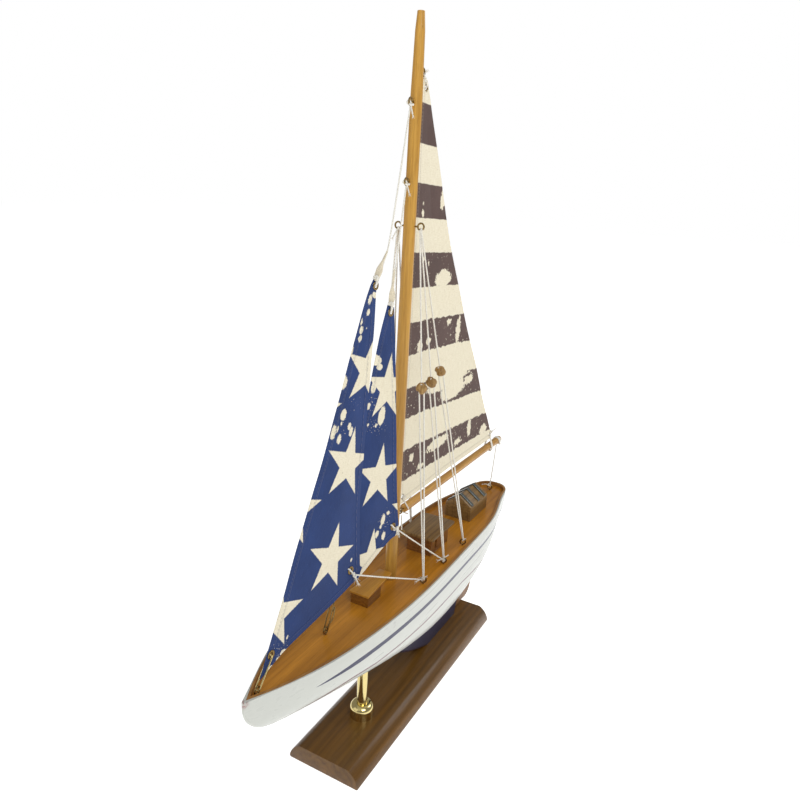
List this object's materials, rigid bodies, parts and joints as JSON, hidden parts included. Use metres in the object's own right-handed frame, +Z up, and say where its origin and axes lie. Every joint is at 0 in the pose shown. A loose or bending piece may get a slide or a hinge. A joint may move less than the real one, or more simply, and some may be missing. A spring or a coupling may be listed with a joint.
{
  "type": "display model sloop",
  "caption": "Wooden display sloop with printed cloth mainsail and headsails, string rigging, deck houses and a turning rudder, held by a brass post on a wooden base.",
  "frame": {"origin": "centre of the whole boat's bounding box in plan, on the underside of the base board", "axes": "+X towards the bow, +Y to port, +Z up"},
  "size_m": [0.4297, 0.0774, 0.5647],
  "materials": {
    "base_wood": "satin varnish",
    "polished_brass": "polished",
    "steel": "satin",
    "navy_paint": "satin paint",
    "white_paint": "gloss paint",
    "deck_wood": "gloss varnish",
    "rail_wood": "gloss varnish",
    "rudder_wood": "satin varnish",
    "house_wood": "satin varnish",
    "hatch_wood": "satin varnish",
    "cabin_wood": "satin varnish",
    "roof_wood": "satin varnish",
    "slate_paint": "matte paint",
    "spar_wood": "gloss varnish",
    "bead_wood": "satin",
    "main_canvas": "woven, printed stripes",
    "jib_canvas": "woven, printed stars",
    "aged_brass": "aged",
    "cotton_line": "twisted cotton"
  },
  "bodies": {
    "hull_and_stand": {"base_board": "base_wood", "post_collar": "polished_brass", "post": "polished_brass", "post_rod": "steel", "keel_fin": "navy_paint", "keel_screws": "steel", "hull_shell": "white_paint", "deck": "deck_wood", "toe_rail": "rail_wood", "rudder_tube": "polished_brass", "foredeck_box": "house_wood", "foredeck_hatch": "hatch_wood", "cabin_block": "cabin_wood", "cabin_roof": "roof_wood", "skylight_body": "cabin_wood", "skylight_bars": "slate_paint", "mast": "spar_wood", "mast_halyard_eyes": "aged_brass", "mast_head_eye": "aged_brass", "mast_shroud_eyes": "aged_brass", "gooseneck_eye": "aged_brass", "tack_line_eye": "aged_brass", "chainplate_eyes": "aged_brass", "bow_eye": "aged_brass", "jib_tack_eye": "aged_brass", "stern_eye": "aged_brass", "upper_shrouds": "cotton_line", "deadeyes": "bead_wood", "lanyards": "cotton_line", "outer_halyard": "cotton_line", "inner_halyard": "cotton_line", "outer_jib_sheet": "cotton_line", "inner_jib_sheet": "cotton_line", "mainsheet": "cotton_line", "tack_line": "cotton_line"},
    "rudder": {"rudder_stock": "polished_brass", "rudder_blade": "rudder_wood"},
    "boom_and_mainsail": {"boom": "spar_wood", "boom_eye": "aged_brass", "mainsail": "main_canvas", "mainsail_grommets": "aged_brass", "clew_lashing": "cotton_line", "tack_lashing": "cotton_line", "head_lashing": "cotton_line", "boom_whipping": "cotton_line"},
    "outer_headsail": {"outer_jib": "jib_canvas", "outer_jib_grommets": "aged_brass", "outer_tack_link": "aged_brass"},
    "inner_headsail": {"inner_jib": "jib_canvas", "inner_jib_grommets": "aged_brass", "inner_tack_link": "aged_brass"}
  },
  "joints": [
    {"name": "boom_swing", "type": "hinge", "parent": "hull_and_stand", "child": "boom_and_mainsail", "pos_m": [0.0166, 0, 0.186], "axis": [-0.0161, 0, 0.9999], "range_deg": [-3, 3]},
    {"name": "outer_headsail_swing", "type": "hinge", "parent": "hull_and_stand", "child": "outer_headsail", "pos_m": [0.201, 0, 0.13371], "axis": [-0.467, 0.0011, 0.8843], "range_deg": [-10, 0], "deforming": ["outer_jib_sheet"]},
    {"name": "inner_headsail_swing", "type": "hinge", "parent": "hull_and_stand", "child": "inner_headsail", "pos_m": [0.124, 0, 0.13271], "axis": [-0.3205, 0.0021, 0.9472], "range_deg": [-4, 0], "deforming": ["inner_jib_sheet"]},
    {"name": "rudder_turn", "type": "hinge", "parent": "hull_and_stand", "child": "rudder", "pos_m": [-0.1129, 0, 0.015], "axis": [-0.2756, 0, 0.9613], "range_deg": [-30, 30]}
  ]
}
